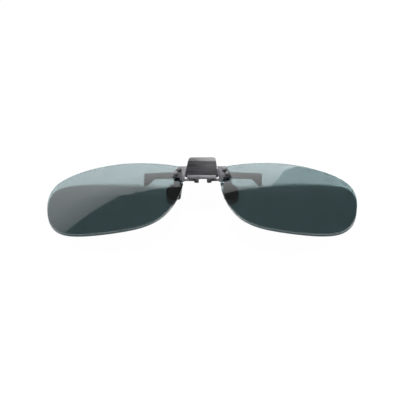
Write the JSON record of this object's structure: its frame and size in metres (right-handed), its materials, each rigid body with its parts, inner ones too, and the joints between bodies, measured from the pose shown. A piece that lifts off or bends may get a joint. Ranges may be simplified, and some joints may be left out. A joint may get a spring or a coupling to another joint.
{
  "type": "flip-up clip-on sunglasses",
  "caption": "Flip-up clip-on sunglasses: rimless tinted lenses hinged on a small box clip with a sprung pinch lever that grips the bridge of spectacles.",
  "frame": {"origin": "on the surface that the clip-on lies on, under the middle of its bounding box", "axes": "+X along the length, towards the right in the picture; +Y the wearer's up; +Z the direction the lenses face, up when it lies on its back"},
  "size_m": [0.1274, 0.0396, 0.0122],
  "materials": {
    "tinted_lens": "polished grey-green tint",
    "gunmetal": "satin gunmetal plating",
    "box_paint": "charcoal, finely brushed",
    "bright_steel": "plain steel",
    "spring_steel": "drawn wire",
    "black_rubber": "soft matt",
    "black_plastic": "moulded"
  },
  "bodies": {
    "clip": {"box_cover": "box_paint", "housing": "gunmetal", "detent_spring": "spring_steel", "left_front_arm": "gunmetal", "right_front_arm": "gunmetal", "left_front_tip": "black_rubber", "right_front_tip": "black_rubber", "arm_rivets": "bright_steel", "clamp_pin": "bright_steel", "clamp_spring": "spring_steel"},
    "lens_carrier": {"left_lens": "tinted_lens", "right_lens": "tinted_lens", "left_side_plate": "gunmetal", "right_side_plate": "gunmetal", "left_lens_studs": "bright_steel", "right_lens_studs": "bright_steel", "left_lens_bushes": "black_plastic", "right_lens_bushes": "black_plastic", "left_lens_nuts": "bright_steel", "right_lens_nuts": "bright_steel", "flip_pin": "bright_steel", "detent_cam": "black_plastic"},
    "rear_jaw": {"pinch_lever": "gunmetal", "thumb_pad": "black_rubber", "left_rear_leg": "gunmetal", "right_rear_leg": "gunmetal", "left_rear_sleeve": "black_rubber", "right_rear_sleeve": "black_rubber", "leg_rivets": "bright_steel"}
  },
  "joints": [
    {"name": "lens_flip", "type": "hinge", "parent": "clip", "child": "lens_carrier", "pos_m": [0, 0.01375, 0.0067], "axis": [-1, 0, 0], "range_deg": [0, 90]},
    {"name": "pinch", "type": "hinge", "parent": "clip", "child": "rear_jaw", "pos_m": [0, 0.01465, 0.0025], "axis": [1, 0, 0], "range_deg": [0, 35], "stiffness_Nm_per_rad": 0.05, "springref_deg": -28.65, "deforming": ["clamp_spring"]}
  ]
}
